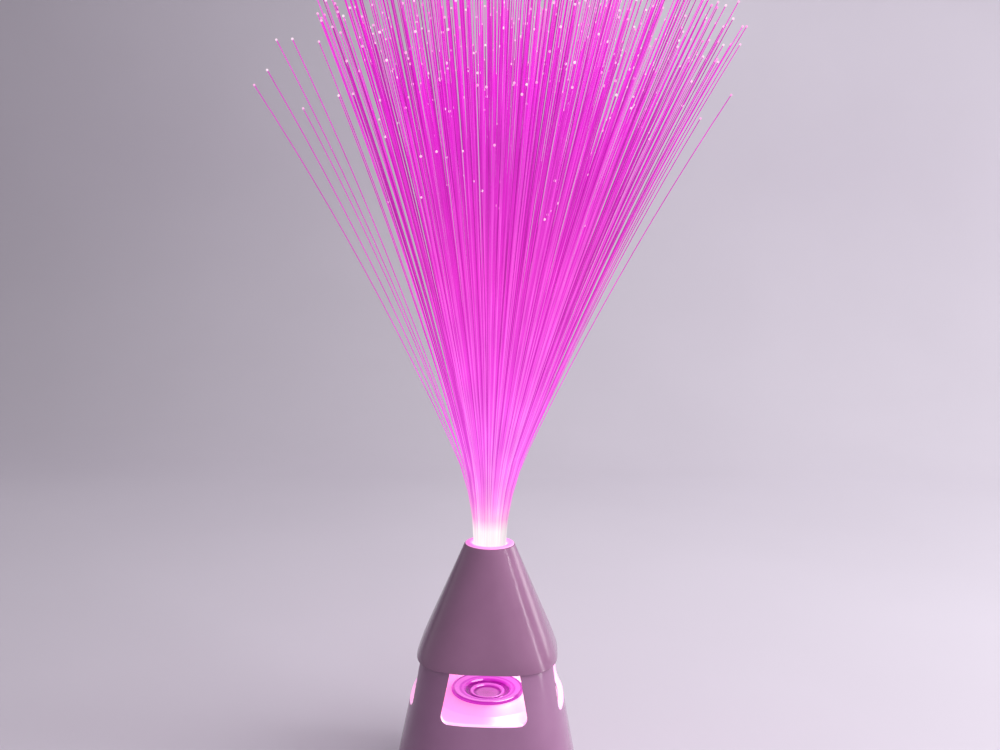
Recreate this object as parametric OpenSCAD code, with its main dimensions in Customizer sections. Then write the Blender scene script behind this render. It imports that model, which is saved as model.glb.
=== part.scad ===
// Fibre optic lamp: a spray of light-carrying fibres plugged into a two-piece base.
// Origin: centre of the base on the plane of its feet. +Z up, the front faces -Y.

/* [Lower shell] */
// Width of the lower shell at its bottom edge
base_w = 83; // [80:1:92]
// Width of the lower shell under the cap
shoulder_w = 58.2; // [57:0.2:60]
// Height of the shoulder that the cap stands on
shoulder_z = 64; // [60:1:70]
// Height of the shell's bottom edge above the table
base_gap = 1; // [0.8:0.1:1.2]
// Wall of the lower shell
base_wall = 2.4; // [2:0.1:2.6]
// Squareness of the lower shell's outline: 2 is a circle
base_power = 2.8; // [2.6:0.05:3]
// Height of the spigot ring inside the cap
spigot_h = 4; // [3:0.5:6]

/* [Windows] */
// Height of the windows' bottom edge
window_z = 44.2; // [44.2:0.1:46]
// Width of a window at its bottom edge
window_w = 36; // [30:1:38]
// How much narrower a window is at the top, as width lost per height
window_taper = 0.39; // [0.3:0.01:0.42]
// Radius of a window's lower corners
window_corner_r = 3.5; // [2:0.5:5]

/* [Cap] */
// Width of the cap's skirt
skirt_w = 60.2; // [59.8:0.1:60.6]
// Height of the cap's top rim
cap_top_z = 110.2; // [104:0.2:116]
// Radius of the cap's top rim
cap_top_r = 10.8; // [10.6:0.1:12]
// Wall of the cap
cap_wall = 1.7; // [1.4:0.1:1.9]
// Squareness of the skirt's outline
skirt_power = 3.2; // [3:0.05:3.4]

/* [Socket] */
// Bore of the socket collar
socket_r = 7.6; // [7.2:0.1:7.8]
// Depth of the socket below the cap's rim
socket_depth = 24; // [18:1:28]
// Height of the collar's rounded lip above the cap's rim
lip_h = 0.6; // [0.4:0.1:1.2]
// Running clearance of the ferrule in the socket
socket_fit = 0.08; // [0.04:0.01:0.1]

/* [Fibres] */
// Radius of one fibre
fibre_r = 0.375; // [0.25:0.025:0.375]
// Distance between the rings of fibres at the root
ring_pitch = 0.9; // [0.85:0.01:0.93]
// Length of the middle fibres above the glued root
fibre_len = 256; // [200:2:270]
// Lean of the dense spray's outermost fibres after the first bend, degrees
low_bend = 19; // [12:1:20]
// Further lean that those fibres would take over a whole fibre length, degrees
high_bend = 9.5; // [4:0.5:11]
// Lean of the whole dense spray to the right, as a share of its outermost fibres' lean
side_lean = 0.14; // [0:0.01:0.18]
// Lean of the stray fibres round it, as the same share
stray_lean = 1.24; // [1.18:0.01:1.3]
// Length of fibre that takes the first bend
low_bend_len = 45; // [35:1:60]
// Share of its length by which the shortest fibre of a ring falls short
fibre_short = 0.12; // [0:0.01:0.2]

/* [Light chamber] */
// Height of the white floor's top face
floor_z = 43.8; // [42.6:0.1:44]
// Thickness of the white floor
floor_t = 2; // [1.6:0.1:2.2]
// Radius of the lens flange
lens_r = 15.7; // [14.5:0.1:16]
// Radius of the lens body that passes through the floor
lens_body_r = 10; // [9.4:0.1:10.4]
// Radius of the round circuit board
board_r = 18; // [17.6:0.1:18.4]
// Thickness of the circuit board
board_t = 1.6; // [1.2:0.2:1.6]
// Distance from the floor's underside down to the board
board_drop = 5.6; // [5:0.1:6.4]

/* [Power] */
// Radius of a battery cell
cell_r = 7.25; // [7:0.05:7.3]
// Length of a battery cell without its positive nub
cell_len = 49.5; // [49:0.1:49.8]
// Centre distance of neighbouring cells
cell_pitch = 14.8; // [14.8:0.05:15]
// Wall of the battery bay
bay_wall = 1.2; // [1:0.1:1.3]
// Thickness of the bottom plate
plate_t = 2; // [1.8:0.1:2.2]
// Thickness of the battery door
door_t = 1.5; // [1.3:0.1:1.6]
// Radius of a rubber foot
foot_r = 4; // [3:0.25:4.25]

/* [Power button] */
// Height of the button's centre
button_z = 30.8; // [30.4:0.1:31.2]
// Radius of the button
button_r = 5; // [4:0.1:5.2]
// Travel of the button
button_travel = 1.6; // [1:0.1:1.8]
// How far the button stands out of the wall
button_proud = 2.4; // [2:0.1:3]

/* [Hidden] */

// Small values shared by several pieces
fit = 0.25;       // gap between loose pieces of one body
skin = 0.3;       // gap between pieces that move past each other
over = 1;         // how far a cutter runs past the face it cuts
outline_n = 48;   // corners of a lofted outline
round_n = 48;     // fragments of a round piece
small_n = 24;     // fragments of a small round piece

// Shell outlines
base_half = base_w / 2;
base_slope = (base_w - shoulder_w) / 2 / (shoulder_z - base_gap);
window_top_z = shoulder_z;
cap_h = cap_top_z - shoulder_z;
function base_out(z) = base_half - base_slope * (z - base_gap);
function base_in(z) = base_out(z) - base_wall;
function cap_rise(z) = min(1, max(0, (cap_top_z - z) / cap_h));
// Nearly straight sides that stand a little fuller at the skirt
cap_full = 0.03;
function cap_flare(rise) = (1 + cap_full) * rise - cap_full * pow(rise, 9);
function cap_out(z) = cap_top_r + (skirt_w / 2 - cap_top_r) * cap_flare(cap_rise(z));
function cap_power(z) = 2 + (skirt_power - 2) * cap_rise(z);
// The spigot clears the cap's wall a little above its own top
spigot_top_z = shoulder_z + spigot_h;
spigot_half = cap_out(spigot_top_z + 2) - cap_wall - fit;
spigot_power = cap_power(spigot_top_z + 2);
spigot_t = 1.8;
rim_step = 0.3;   // how far the cap's rim stands out past the collar's lip

// Heights, from the table up
foot_h = 2.4;
plate_z = 1.6;
plate_top = plate_z + plate_t;
cell_z = plate_top + skin + cell_r;
bay_roof_z = cell_z + cell_r + 0.5;
bay_top_z = bay_roof_z + bay_wall;
floor_low_z = floor_z - floor_t;
board_top_z = floor_low_z - board_drop;
board_z = board_top_z - board_t;
function lip_r() = (cap_top_r - rim_step - socket_r) / 2;
socket_z = cap_top_z - socket_depth;

// Bottom plate, bay and door
plate_half = base_in(plate_top) - fit;
contact_t = 0.4;
nub_r = 2.75;
nub_h = 1;
spring_len = 5.7;
contact_w = 10.4;
bay_half_x = cell_pitch + cell_r + 0.2;
bay_half_y = (cell_len + nub_h + spring_len) / 2 + contact_t;
door_half_x = bay_half_x - skin;
door_half_y = bay_half_y - skin;
// The door turns about a round bar along its front edge
bar_r = 0.9;
hinge_y = bar_r - door_half_y;
hinge_z = plate_z + bar_r + 0.05;
hook_x = cell_pitch / 2;
hook_w = 4;
hook_reach = 1.6;
hook_z = plate_top + skin;
hook_h = 1;
hook_web = 1.2;
hook_sweep = norm([hook_reach + bar_r, hook_z + hook_h - hinge_z]);
tab_w = 12;
tab_len = 3.2;
post_r = 3;
post_x = base_in(floor_low_z) - 0.86 * post_r;
post_y = 4 * post_r;
screw_r = 1.2;
screw_head_r = 2.3;
screw_head_h = 1.2;
screw_len = 12;
foot_x = plate_half - 2.7 * foot_r;
foot_y = plate_half - 3.3 * foot_r;
foot_sunk = foot_h - plate_z;

// Electronics
led_size = 5;
led_h = 1.6;
led_ring_r = 4.4;
led_turns = [90, 210, 330];
screw_turns = [30, 150, 270];
board_hole_ring = board_r - 2.6;
board_screw_r = 0.95;
board_screw_head_r = 1.9;
board_post_r = 2.8;
lens_cup_r = 8;
lens_cup_top = floor_z - 3;
// The floor rises in a shallow cone to the seat that the lens lies on
seat_z = floor_z + 1.4;
seat_r = 1.55 * lens_r;
// Rings of the lens's dished top: share of the flange's radius, height above the seat
lens_rings = [[1, 0.7], [0.96, 1.1], [0.86, 0.9], [0.72, 0.5], [0.66, 0.4], [0.61, -0.4], [0.52, -1],
  [0.47, -0.5], [0.41, -0.6], [0.37, -1.3]];
part_x = board_r / 2;
lead_x = 0.44 * board_r;
lead_y = 0.5 * board_r;

// Switch and button; the button slides along Y through the rear wall
button_wall_y = base_out(button_z);
button_face_y = button_wall_y + button_proud;
flange_y = base_in(button_z + button_r + 1.2) - 0.6;
flange_r = button_r + 1.2;
flange_t = 1.2;
stem_r = 1.5;
stem_fit = 0.06;
switch_size = 8.5;
switch_depth = 7;
switch_board_t = 1;
upright_t = 2.4;
switch_board_top_z = board_z - 0.4;
switch_y = flange_y - flange_t - button_travel - 2.6 - switch_depth;

// Fibre rings
ring_count = 7;
low_steps = 3;    // stretches that follow the first bend; the same for all, so none cross
high_steps = 2;   // stretches above it
root_z = socket_z + socket_depth / 3;
bend_z = cap_top_z - 2;
ferrule_r = socket_r - socket_fit;
ferrule_wall = 0.5;
ferrule_top_z = cap_top_z - 0.2;
potting_r = ferrule_r - ferrule_wall;
ledge_r = ferrule_r - 1.2;
ledge_t = 1.2;
seat_gap = 0.05;

// A rounded-square outline with its corners spread evenly round the centre
function rounded_square(half, power) = [for (i = [0 : outline_n - 1])
  let (a = 360 * i / outline_n,
       r = half / pow(pow(abs(cos(a)), power) + pow(abs(sin(a)), power), 1 / power))
  [r * cos(a), r * sin(a)]];

// A closed ring-shaped shell through outlines given as [half width, height, power];
// the list goes up the outside and down the inside
module shell(outlines) {
  rings = len(outlines);
  points = [for (o = outlines) for (p = rounded_square(o[0], o[2])) [p.x, p.y, o[1]]];
  sides = [for (k = [0 : rings - 1]) for (i = [0 : outline_n - 1])
    let (j = (i + 1) % outline_n, low = k * outline_n, high = ((k + 1) % rings) * outline_n)
    for (tri = [[low + i, high + i, high + j], [low + i, high + j, low + j]]) tri];
  polyhedron(points = points, faces = sides, convexity = 6);
}

// A tube swept along points, closed at both ends
module tube(path, r, sides) {
  n = len(path);
  points = [for (k = [0 : n - 1])
    let (ahead = path[min(k + 1, n - 1)] - path[max(k - 1, 0)],
         t = ahead / norm(ahead),
         ref = abs(t.z) > 0.8 ? [1, 0, 0] : [0, 0, 1],
         u = cross(ref, t) / norm(cross(ref, t)),
         v = cross(t, u))
    for (i = [0 : sides - 1]) path[k] + r * (cos(360 * i / sides) * u + sin(360 * i / sides) * v)];
  skin_faces = [for (k = [0 : n - 2]) for (i = [0 : sides - 1])
    let (j = (i + 1) % sides)
    for (tri = [[k * sides + i, (k + 1) * sides + i, (k + 1) * sides + j],
                [k * sides + i, (k + 1) * sides + j, k * sides + j]]) tri];
  caps = [[for (i = [0 : sides - 1]) i], [for (i = [sides - 1 : -1 : 0]) (n - 1) * sides + i]];
  polyhedron(points = points, faces = concat(skin_faces, caps), convexity = 8);
}

// Points of a smooth curve through corner points, with round corners of a given reach
function rounded_path(corners, reach, steps = 4) = [
  corners[0],
  for (k = [1 : len(corners) - 2])
    let (a = corners[k - 1], b = corners[k], c = corners[k + 1],
         p = b + (a - b) / norm(a - b) * reach,
         q = b + (c - b) / norm(c - b) * reach)
    for (s = [0 : steps]) let (f = s / steps) (1 - f) * (1 - f) * p + 2 * f * (1 - f) * b + f * f * q,
  corners[len(corners) - 1]];

module at_corners(x, y) {
  for (sx = [-1, 1]) for (sy = [-1, 1]) translate([sx * x, sy * y, 0]) children();
}

// A plate with the outline of the shell
module outline_plate(half, z, t) {
  translate([0, 0, z]) linear_extrude(height = t) polygon(rounded_square(half, base_power));
}

// Outline of a window, in the plane of the wall: X across, Y up
module window_outline() {
  half_low = window_w / 2;
  half_top = half_low - window_taper / 2 * (window_top_z - window_z);
  r = window_corner_r;
  corner = [for (a = [0 : 15 : 90]) [half_low - r + r * sin(a), window_z + r - r * cos(a)]];
  right = concat(corner, [[half_top, window_top_z]]);
  left = [for (i = [len(right) - 1 : -1 : 0]) [-right[i].x, right[i].y]];
  polygon(concat(right, left));
}

module windows() {
  for (turn = [0 : 90 : 270]) rotate([0, 0, turn]) translate([0, -base_half / 2, 0])
    rotate([90, 0, 0]) linear_extrude(height = base_half) window_outline();
}

module base_shell() {
  step_z = shoulder_z - 3;
  color([0.88, 0.85, 0.90]) difference() {
    union() {
      shell([
        [base_out(base_gap), base_gap, base_power],
        [base_out(shoulder_z), shoulder_z, base_power],
        [spigot_half, shoulder_z, spigot_power],
        [spigot_half, spigot_top_z, spigot_power],
        [spigot_half - spigot_t, spigot_top_z, spigot_power],
        [spigot_half - spigot_t, shoulder_z - 0.5, spigot_power],
        [base_in(step_z), step_z, base_power],
        [base_in(base_gap), base_gap, base_power]]);
      // Screw posts that the bottom plate and the white floor bear on
      at_corners(post_x, post_y) translate([0, 0, plate_top])
        cylinder(r = post_r, h = floor_low_z - plate_top, $fn = small_n);
    }
    windows();
    at_corners(post_x, post_y) translate([0, 0, plate_top - over])
      cylinder(r = screw_r, h = screw_len + over, $fn = small_n);
    translate([0, base_in(button_z) - 4, button_z]) rotate([-90, 0, 0])
      cylinder(r = button_r + skin, h = base_wall + 10, $fn = round_n);
    // Trims the posts flush with the outer wall
    shell([
      [base_out(0) + 12, 0, base_power], [base_out(shoulder_z) + 12, shoulder_z, base_power],
      [base_out(shoulder_z) + 0.02, shoulder_z, base_power], [base_out(0) + 0.02, 0, base_power]]);
  }
}

module cap_shell() {
  steps = 10;
  heights = [for (k = [0 : steps]) shoulder_z + cap_h * pow(k / steps, 0.8)];
  outside = [for (z = heights) [cap_out(z), z, cap_power(z)]];
  inside = [for (k = [steps : -1 : 0])
    let (z = heights[k], thick = k == steps ? cap_top_r - collar_r() - fit : cap_wall)
    [cap_out(z) - thick, z, cap_power(z)]];
  color([0.92, 0.89, 0.94]) shell(concat(outside, inside));
}

function collar_r() = socket_r + 1;

module socket_collar() {
  color([1, 0.62, 0.86]) rotate_extrude($fn = round_n) difference() {
    union() {
      translate([ledge_r, socket_z - ledge_t]) square([collar_r() - ledge_r, ledge_t]);
      translate([socket_r, socket_z - over / 2]) square([1, socket_depth + over]);
      translate([socket_r + lip_r(), cap_top_z]) intersection() {
        scale([1, lip_h / lip_r()]) circle(r = lip_r(), $fn = small_n);
        translate([-lip_r(), 0]) square([2 * lip_r(), lip_h]);
      }
    }
    translate([0, socket_z]) square([socket_r, socket_depth + lip_h + over]);
  }
}

module light_floor() {
  half = base_in(floor_z) - fit;
  color([1, 0.95, 0.98]) difference() {
    union() {
      outline_plate(half, floor_low_z, floor_t);
      translate([0, 0, floor_z - 0.2])
        cylinder(r1 = seat_r, r2 = lens_r + 0.5, h = seat_z - floor_z + 0.2, $fn = round_n);
      for (turn = screw_turns) rotate([0, 0, turn]) translate([board_hole_ring, 0, board_top_z])
        cylinder(r = board_post_r, h = board_drop + floor_t / 2, $fn = small_n);
    }
    translate([0, 0, floor_low_z - over])
      cylinder(r = lens_body_r + fit, h = seat_z - floor_low_z + 2 * over, $fn = round_n);
    for (turn = screw_turns) rotate([0, 0, turn]) translate([board_hole_ring, 0, board_top_z - over])
      cylinder(r = board_screw_r, h = board_drop, $fn = small_n);
  }
}

// A dished clear lens with stepped rings, lying on the seat of the white floor
module led_lens() {
  profile = concat(
    [[lens_cup_r, floor_low_z - 3.4], [lens_body_r, floor_low_z - 3.4],
     [lens_body_r, seat_z], [lens_r, seat_z]],
    [for (ring = lens_rings) [lens_r * ring[0], seat_z + ring[1]]],
    [[0, seat_z - 1.6], [0, lens_cup_top], [lens_cup_r, lens_cup_top - 1.4]]);
  color([0.93, 0.42, 0.88]) rotate_extrude($fn = round_n) polygon(profile);
}

module led_board() {
  color([0.10, 0.42, 0.24]) difference() {
    translate([0, 0, board_z]) cylinder(r = board_r, h = board_t, $fn = round_n);
    for (turn = screw_turns) rotate([0, 0, turn]) translate([board_hole_ring, 0, board_z - over])
      cylinder(r = board_screw_r + 0.15, h = board_t + 2 * over, $fn = small_n);
  }
}

module led_emitters() {
  color([1, 0.98, 0.85]) for (turn = led_turns) rotate([0, 0, turn])
    translate([led_ring_r, 0, board_top_z]) difference() {
      translate([-led_size / 2, -led_size / 2, 0]) cube([led_size, led_size, led_h]);
      translate([0, 0, led_h - 0.6]) cylinder(r = led_size / 2 - 0.5, h = over, $fn = small_n);
    }
}

// Control chip, capacitor and four resistors on the board's underside
module board_parts() {
  color([0.14, 0.14, 0.16]) {
    translate([-part_x / 3, -part_x / 3, board_z - 1.6]) cube([2 * part_x / 3, 2 * part_x / 3, 1.6]);
    translate([part_x, -3, board_z - 4.5]) cylinder(r = 2.4, h = 4.5, $fn = small_n);
    for (i = [-1.5 : 1.5]) translate([-part_x - 0.5, 3.4 * i - 0.8, board_z - 0.6]) cube([3, 1.6, 0.6]);
  }
}

module board_screws() {
  color("silver") for (turn = screw_turns) rotate([0, 0, turn]) translate([board_hole_ring, 0, 0]) {
    translate([0, 0, board_z - 1.2]) cylinder(r = board_screw_head_r, h = 1.2, $fn = small_n);
    translate([0, 0, board_z - 0.4]) cylinder(r = board_screw_r - 0.02, h = board_t + 4.4, $fn = small_n);
  }
}

// Bottom cover with the battery bay moulded on it
module bottom_plate() {
  wall_x = bay_half_x + bay_wall;
  wall_y = bay_half_y + bay_wall;
  color([0.80, 0.77, 0.83]) difference() {
    union() {
      outline_plate(plate_half, plate_z, plate_t);
      translate([-wall_x, -wall_y, plate_z]) cube([2 * wall_x, 2 * wall_y, bay_top_z - plate_z]);
      // Upright that holds the switch board
      translate([-5, switch_y - switch_board_t - upright_t, bay_top_z - over])
        cube([10, upright_t, switch_board_top_z - 0.4 - bay_top_z + over]);
    }
    translate([-bay_half_x, -bay_half_y, plate_z - over])
      cube([2 * bay_half_x, 2 * bay_half_y, bay_roof_z - plate_z + over]);
    translate([-tab_w / 2 - skin, 0, plate_z - over])
      cube([tab_w + 2 * skin, door_half_y + tab_len + skin, plate_t + over]);
    for (side = [-1, 1]) translate([side * hook_x - hook_w / 2 - skin, -wall_y - over, plate_top])
      cube([hook_w + 2 * skin, bay_half_y, hinge_z + hook_sweep + skin - plate_top]);
    at_corners(post_x, post_y) translate([0, 0, plate_z - over]) {
      cylinder(r = screw_r + 0.2, h = plate_t + 2 * over, $fn = small_n);
      cylinder(r = screw_head_r + 0.2, h = over + screw_head_h, $fn = small_n);
    }
    at_corners(foot_x, foot_y) translate([0, 0, plate_z - over])
      cylinder(r = foot_r, h = over + foot_sunk, $fn = small_n);
    // Slots for the leads through the bay's roof, beside its end walls
    for (end = [-1, 1])
      translate([end * cell_pitch - 1.4, end * (bay_half_y - contact_t - 0.6) - 1, bay_roof_z - over])
        cube([2.8, 2, bay_wall + 2 * over]);
  }
}

module plate_screws() {
  head_z = plate_z + screw_head_h;
  color("silver") at_corners(post_x, post_y) difference() {
    union() {
      translate([0, 0, plate_z + 0.1]) cylinder(r = screw_head_r, h = screw_head_h - 0.1, $fn = small_n);
      translate([0, 0, head_z - 0.2]) cylinder(r = screw_r - 0.02, h = screw_len, $fn = small_n);
    }
    for (turn = [0, 90]) rotate([0, 0, turn]) translate([-1.4, -0.25, plate_z - over])
      cube([2.8, 0.5, over + 0.7]);
  }
}

module rubber_feet() {
  color([0.25, 0.24, 0.26]) at_corners(foot_x, foot_y) cylinder(r = foot_r, h = foot_h, $fn = small_n);
}

// Door that turns down about the bar along its front edge, hooked behind the plate
module battery_door() {
  color([0.78, 0.75, 0.81]) difference() {
    union() {
      translate([-door_half_x, hinge_y, plate_z]) cube([2 * door_half_x, door_half_y - hinge_y, door_t]);
      translate([-door_half_x, hinge_y, hinge_z]) rotate([0, 90, 0])
        cylinder(r = bar_r, h = 2 * door_half_x, $fn = small_n);
      translate([-tab_w / 2, 0, plate_z]) cube([tab_w, door_half_y + tab_len, door_t]);
      for (side = [-1, 1]) translate([side * hook_x - hook_w / 2, -door_half_y, 0]) {
        translate([0, 0, hinge_z]) cube([hook_w, hook_web, hook_z + hook_h - hinge_z]);
        translate([0, -hook_reach, hook_z]) cube([hook_w, hook_reach + hook_web, hook_h]);
      }
    }
    // Grip grooves across the tab end
    for (i = [0 : 3]) translate([-tab_w / 2 + 1.5, door_half_y - 3 - 2.2 * i, plate_z - over])
      cube([tab_w - 3, 1, over + 0.5]);
  }
}

// One cell lying along Y, its positive end at +Y
module cell() {
  color([0.35, 0.36, 0.40]) rotate([-90, 0, 0]) {
    cylinder(r = cell_r, h = cell_len, $fn = round_n);
    translate([0, 0, cell_len - over]) cylinder(r = nub_r, h = nub_h + over, $fn = small_n);
  }
}

// The outer cells point to the rear and the middle one to the front
module battery_cells() {
  start = bay_half_y - contact_t - cell_len - nub_h;
  for (i = [-1 : 1]) translate([i * cell_pitch, 0, cell_z])
    rotate([0, 0, i == 0 ? 180 : 0]) translate([0, start, 0]) cell();
}

// Two wide strips that join neighbouring cells and two narrow ones for the leads
module battery_contacts() {
  h = 10;
  tab_h = bay_top_z + 0.8 - cell_z - h / 2 + over;
  color([0.82, 0.80, 0.74]) for (end = [-1, 1]) rotate([0, 0, end < 0 ? 0 : 180])
    translate([0, -bay_half_y, cell_z - h / 2]) {
      translate([-cell_pitch - contact_w / 2, 0, 0]) cube([contact_w, contact_t, h]);
      translate([-cell_pitch - 1, 0, h - over]) cube([2, contact_t, tab_h]);
      translate([-contact_w / 2, 0, 0]) cube([cell_pitch + contact_w, contact_t, h]);
    }
}

module battery_springs() {
  turns = 3.5;
  steps = 12;
  wire = 0.35;
  count = turns * steps;
  coil = [for (k = [0 : count]) let (f = k / count, r = contact_w / 2 - 0.6 - 1.8 * f)
    [r * cos(360 * k / steps), wire + f * (spring_len - 2 * wire), r * sin(360 * k / steps)]];
  color("silver") for (i = [-1 : 1]) translate([i * cell_pitch, 0, cell_z])
    rotate([0, 0, i == 0 ? 180 : 0]) translate([0, -bay_half_y + contact_t, 0]) tube(coil, wire, 6);
}

lead_r = 0.6;
lead_steps = 5;
tab_top_z = bay_top_z + 0.8;
tab_mid_y = bay_half_y - contact_t - lead_r;

module positive_lead() {
  color([0.75, 0.10, 0.12]) tube(rounded_path([
    [cell_pitch, tab_mid_y, tab_top_z - 1.4], [cell_pitch, tab_mid_y, tab_top_z + 2.5],
    [lead_y, switch_y + 1, tab_top_z + 2.5], [lead_y, switch_y + 1, button_z - 2],
    [switch_size / 2 + 0.02, switch_y + 1, button_z - 2]], 1.4, lead_steps), lead_r, 8);
}

module negative_lead() {
  color([0.12, 0.12, 0.13]) tube(rounded_path([
    [-cell_pitch, -tab_mid_y, tab_top_z - 1.4], [-cell_pitch, -tab_mid_y, tab_top_z + 3.5],
    [-lead_x, -lead_y, tab_top_z + 3.5], [-lead_x, -lead_y, board_z - 0.02]], 1.6, lead_steps), lead_r, 8);
}

module switch_lead() {
  color([0.75, 0.10, 0.12]) tube(rounded_path([
    [-switch_size / 2 - 0.02, switch_y + 1, button_z - 2], [-lead_x, switch_y + 1, button_z - 2],
    [-lead_x, lead_y, button_z - 2], [-lead_x, lead_y, board_z - 0.02]], 1.4, lead_steps), lead_r, 8);
}

module switch_board() {
  color([0.10, 0.42, 0.24]) translate([-6, switch_y - switch_board_t, bay_top_z])
    cube([12, switch_board_t, switch_board_top_z - bay_top_z]);
}

module switch_body() {
  half = switch_size / 2;
  color([0.16, 0.16, 0.18]) difference() {
    translate([-half, switch_y, button_z - half]) cube([switch_size, switch_depth, switch_size]);
    translate([0, switch_y + 1, button_z]) rotate([-90, 0, 0])
      cylinder(r = stem_r + stem_fit, h = switch_depth, $fn = small_n);
  }
}

module power_button() {
  stem_start = switch_y + 1 + button_travel + 0.4;
  color([0.96, 0.94, 0.97]) rotate([-90, 0, 0]) translate([0, -button_z, 0]) {
    translate([0, 0, stem_start]) cylinder(r = stem_r, h = flange_y - stem_start, $fn = small_n);
    translate([0, 0, flange_y - flange_t]) cylinder(r = flange_r, h = flange_t, $fn = round_n);
    translate([0, 0, flange_y - over / 2])
      cylinder(r = button_r, h = button_face_y - 0.8 - flange_y + over / 2, $fn = round_n);
    translate([0, 0, button_face_y - 0.8])
      cylinder(r1 = button_r, r2 = button_r - 0.8, h = 0.8, $fn = round_n);
  }
}

// Return spring between the switch and the button's flange
module button_spring() {
  wire = 0.25;
  turns = 4;
  steps = 12;
  low = switch_y + switch_depth + wire + 0.05;
  high = flange_y - flange_t - wire - 0.05;
  coil_r = stem_r + 1.1;
  coil = [for (k = [0 : turns * steps]) let (a = 360 * k / steps)
    [coil_r * cos(a), low + (high - low) * k / (turns * steps), button_z + coil_r * sin(a)]];
  color("silver") tube(coil, wire, 6);
}

module bundle_ferrule() {
  color([0.93, 0.90, 0.95]) translate([0, 0, socket_z + seat_gap]) difference() {
    cylinder(r = ferrule_r, h = ferrule_top_z - socket_z - seat_gap, $fn = round_n);
    translate([0, 0, -over]) cylinder(r = potting_r, h = socket_depth + 2 * over, $fn = round_n);
  }
}

// Clear resin that holds the fibres' roots
module bundle_potting() {
  color([0.9, 0.88, 0.95]) translate([0, 0, socket_z + seat_gap])
    cylinder(r = potting_r, h = root_z - socket_z - seat_gap, $fn = round_n);
}

// Points of a fibre in the XZ plane, from its root: straight up, then two arcs towards +X.
// lean is the share of the full bends that this fibre takes
function fibre_path(lean, length) =
  let (top_len = length - (bend_z - root_z) - low_bend_len,
       low = low_bend * lean,
       high = high_bend * lean * top_len / fibre_len,
       low_r = low_bend_len / (low * PI / 180),
       high_r = top_len / (high * PI / 180))
  concat(
    [[0, 0, root_z]],
    [for (k = [0 : low_steps]) let (a = low * k / low_steps)
      [low_r * (1 - cos(a)), 0, bend_z + low_r * sin(a)]],
    [for (k = [1 : high_steps]) let (a = low + high * k / high_steps)
      [low_r * (1 - cos(low)) + high_r * (cos(low) - cos(a)), 0,
       bend_z + low_r * sin(low) + high_r * (sin(a) - sin(low))]]);

// Fibres of one ring. Each leans away from the axis and a little to the right, apart from
// every seventh of the outermost ring, which strays straight outwards past the others
module fibre_ring(ring) {
  count = max(1, 6 * ring);
  u = ring / ring_count;
  for (i = [0 : count - 1]) {
    same = i % max(1, count / 2);
    chance = abs(sin(137.5 * same + 71 * ring));
    length = fibre_len * (1 - 0.02 * u - fibre_short * chance * chance);
    turn = 360 * (i + (ring % 2) / 2) / count;
    out = [cos(turn), sin(turn)];
    lean = ring == ring_count && i % 7 == 0 ? stray_lean * out : u * out + [side_lean, 0];
    translate([ring * ring_pitch * out.x, ring * ring_pitch * out.y, 0])
      rotate([0, 0, atan2(lean.y, lean.x)]) tube(fibre_path(max(0.01, norm(lean)), length), fibre_r, 5);
  }
}

module fibres_core() { color([1, 0.62, 0.90]) for (ring = [0 : 2]) fibre_ring(ring); }
module fibres_inner() { color([1, 0.55, 0.88]) for (ring = [3 : 4]) fibre_ring(ring); }
module fibres_middle() { color([1, 0.46, 0.86]) fibre_ring(5); }
module fibres_outer() { color([0.98, 0.38, 0.86]) fibre_ring(6); }
module fibres_rim() { color([0.95, 0.30, 0.86]) fibre_ring(ring_count); }

base_shell();
cap_shell();
socket_collar();
light_floor();
led_lens();
led_board();
led_emitters();
board_parts();
board_screws();
bottom_plate();
plate_screws();
rubber_feet();
battery_door();
battery_cells();
battery_contacts();
battery_springs();
positive_lead();
negative_lead();
switch_lead();
switch_body();
switch_board();
power_button();
button_spring();
bundle_ferrule();
bundle_potting();
fibres_core();
fibres_inner();
fibres_middle();
fibres_outer();
fibres_rim();
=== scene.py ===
import math
import random

import bpy
from mathutils import Matrix, Vector


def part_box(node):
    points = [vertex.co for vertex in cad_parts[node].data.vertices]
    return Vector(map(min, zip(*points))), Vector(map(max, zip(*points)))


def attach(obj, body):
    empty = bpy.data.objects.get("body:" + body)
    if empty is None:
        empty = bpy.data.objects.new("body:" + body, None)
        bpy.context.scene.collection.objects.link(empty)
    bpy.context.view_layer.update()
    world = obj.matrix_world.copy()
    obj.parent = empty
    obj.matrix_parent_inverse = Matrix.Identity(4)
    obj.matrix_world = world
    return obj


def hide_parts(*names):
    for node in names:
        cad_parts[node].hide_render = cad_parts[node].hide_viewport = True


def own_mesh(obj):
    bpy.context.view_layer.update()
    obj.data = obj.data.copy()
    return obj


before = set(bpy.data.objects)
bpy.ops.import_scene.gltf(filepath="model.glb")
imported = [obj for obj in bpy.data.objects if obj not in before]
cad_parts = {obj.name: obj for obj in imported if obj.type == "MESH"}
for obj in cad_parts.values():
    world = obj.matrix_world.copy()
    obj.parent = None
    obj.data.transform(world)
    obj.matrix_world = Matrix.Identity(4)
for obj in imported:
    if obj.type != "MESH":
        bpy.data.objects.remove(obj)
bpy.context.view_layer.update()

mm = 0.001


def srgb(red, green, blue):
    parts = []
    for value in (red, green, blue):
        share = value / 255
        parts.append(share / 12.92 if share <= 0.04045 else ((share + 0.055) / 1.055) ** 2.4)
    return (*parts, 1)


# The camera's place, turn and lens
cameraSpot = {
    "away": 0.3726,        # from the lamp's axis
    "height": 0.214,
    "round": 2.4,          # degrees to the right of straight in front
    "down": 4.8,
    "aside": 0.493,        # degrees that it looks past the axis
    "roll": 0.95,
    "lens": 31.8,
    "sensor": 36,
    "nearest": 0.01,
}


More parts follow.
